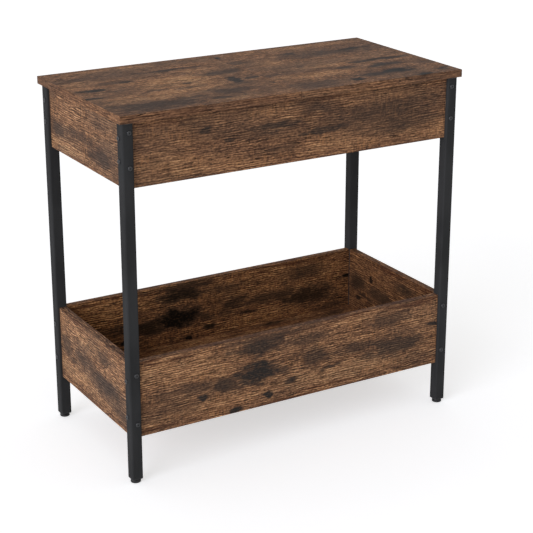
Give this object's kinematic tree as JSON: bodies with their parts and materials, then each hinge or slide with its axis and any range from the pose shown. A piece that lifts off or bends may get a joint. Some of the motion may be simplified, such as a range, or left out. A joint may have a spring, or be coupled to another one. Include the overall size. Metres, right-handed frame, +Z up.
{
  "type": "storage side table",
  "caption": "Narrow side table: square black steel posts carry an upper storage box under two flip-up lids and an open-topped storage bin below.",
  "frame": {"origin": "middle of the table's footprint on the floor", "axes": "+X along the table's long side to its right seen from the front, +Y to the back where the lid hinges are, +Z up"},
  "size_m": [0.6, 0.3, 0.58],
  "materials": {
    "rustic_board": "matte rustic saw-marked laminate",
    "black_steel": "matte black powder coat",
    "black_plastic": "matte black",
    "zinc_steel": "zinc plated",
    "plain_hardwood": "unfinished turned hardwood",
    "clear_rubber": "translucent soft disc"
  },
  "bodies": {
    "table": {"apron_back": "rustic_board", "apron_dowels": "plain_hardwood", "apron_floor": "rustic_board", "apron_front": "rustic_board", "apron_hinge_screws": "zinc_steel", "apron_left": "rustic_board", "apron_long_bolts": "black_steel", "apron_long_inserts": "zinc_steel", "apron_right": "rustic_board", "apron_side_bolts": "black_steel", "apron_side_inserts": "zinc_steel", "bin_back": "rustic_board", "bin_dowels": "plain_hardwood", "bin_floor": "rustic_board", "bin_front": "rustic_board", "bin_left": "rustic_board", "bin_long_bolts": "black_steel", "bin_long_inserts": "zinc_steel", "bin_right": "rustic_board", "bin_side_bolts": "black_steel", "bin_side_inserts": "zinc_steel", "foot_socket_back_left": "black_plastic", "foot_socket_back_right": "black_plastic", "foot_socket_front_left": "black_plastic", "foot_socket_front_right": "black_plastic", "hinge_fixed_leaf_left_inner": "black_steel", "hinge_fixed_leaf_left_outer": "black_steel", "hinge_fixed_leaf_right_inner": "black_steel", "hinge_fixed_leaf_right_outer": "black_steel", "hinge_pin_left_inner": "zinc_steel", "hinge_pin_left_outer": "zinc_steel", "hinge_pin_right_inner": "zinc_steel", "hinge_pin_right_outer": "zinc_steel", "post_back_left": "black_steel", "post_back_right": "black_steel", "post_cap_back_left": "black_plastic", "post_cap_back_right": "black_plastic", "post_cap_front_left": "black_plastic", "post_cap_front_right": "black_plastic", "post_front_left": "black_steel", "post_front_right": "black_steel"},
    "lid_left_body": {"lid_left": "rustic_board", "lid_bumpers_left": "clear_rubber", "lid_hinge_screws_left": "zinc_steel", "hinge_lid_leaf_left_inner": "black_steel", "hinge_lid_leaf_left_outer": "black_steel"},
    "lid_right_body": {"lid_right": "rustic_board", "lid_bumpers_right": "clear_rubber", "lid_hinge_screws_right": "zinc_steel", "hinge_lid_leaf_right_inner": "black_steel", "hinge_lid_leaf_right_outer": "black_steel"},
    "foot_front_left": {"screw_foot_front_left": "black_plastic"},
    "foot_front_right": {"screw_foot_front_right": "black_plastic"},
    "foot_back_left": {"screw_foot_back_left": "black_plastic"},
    "foot_back_right": {"screw_foot_back_right": "black_plastic"}
  },
  "joints": [
    {"name": "lid_left_hinge", "type": "hinge", "parent": "table", "child": "lid_left_body", "pos_m": [-0.15, 0.1475, 0.5652], "axis": [-1, 0, 0], "range_deg": [0, 100]},
    {"name": "lid_right_hinge", "type": "hinge", "parent": "table", "child": "lid_right_body", "pos_m": [0.15, 0.1475, 0.5652], "axis": [-1, 0, 0], "range_deg": [0, 100]},
    {"name": "foot_front_left_travel", "type": "slide", "parent": "table", "child": "foot_front_left", "axis": [0, 0, -1], "range_m": [0, 0.008]},
    {"name": "foot_front_right_travel", "type": "slide", "parent": "table", "child": "foot_front_right", "axis": [0, 0, -1], "range_m": [0, 0.008]},
    {"name": "foot_back_left_travel", "type": "slide", "parent": "table", "child": "foot_back_left", "axis": [0, 0, -1], "range_m": [0, 0.008]},
    {"name": "foot_back_right_travel", "type": "slide", "parent": "table", "child": "foot_back_right", "axis": [0, 0, -1], "range_m": [0, 0.008]}
  ]
}
